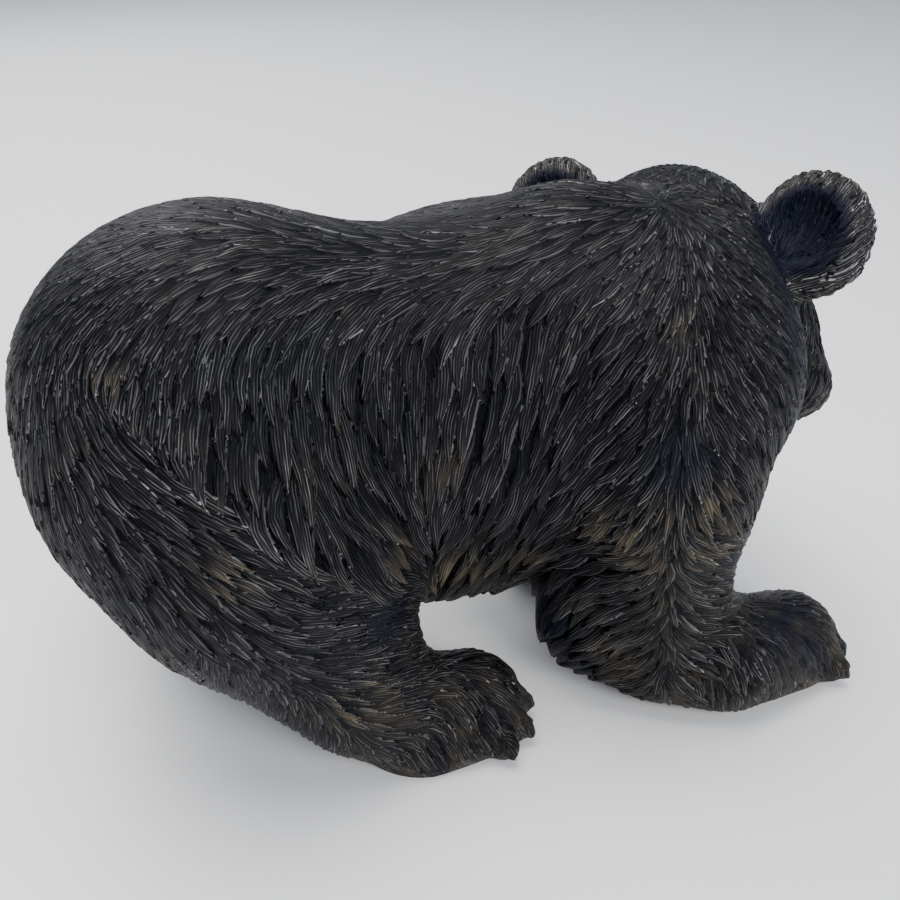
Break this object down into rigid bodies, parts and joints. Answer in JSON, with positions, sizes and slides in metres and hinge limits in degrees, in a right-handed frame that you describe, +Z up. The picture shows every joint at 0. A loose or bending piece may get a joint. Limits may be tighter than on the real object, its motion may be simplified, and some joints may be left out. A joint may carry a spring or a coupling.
{
  "type": "carved wooden bear figure",
  "caption": "Table-top figure of a walking bear with its head turned, carved in one piece from dark-stained wood with gouge-cut fur.",
  "frame": {"origin": "centre of the box's underside, on the plane of the soles", "axes": "+X the way the bear walks, +Y its left side, +Z up"},
  "size_m": [0.3374, 0.2024, 0.2101],
  "materials": {
    "stained_wood": "dark stain, satin, with lighter wood showing on worn ridges"
  },
  "bodies": {
    "root": {"bear": "stained_wood"}
  },
  "joints": []
}
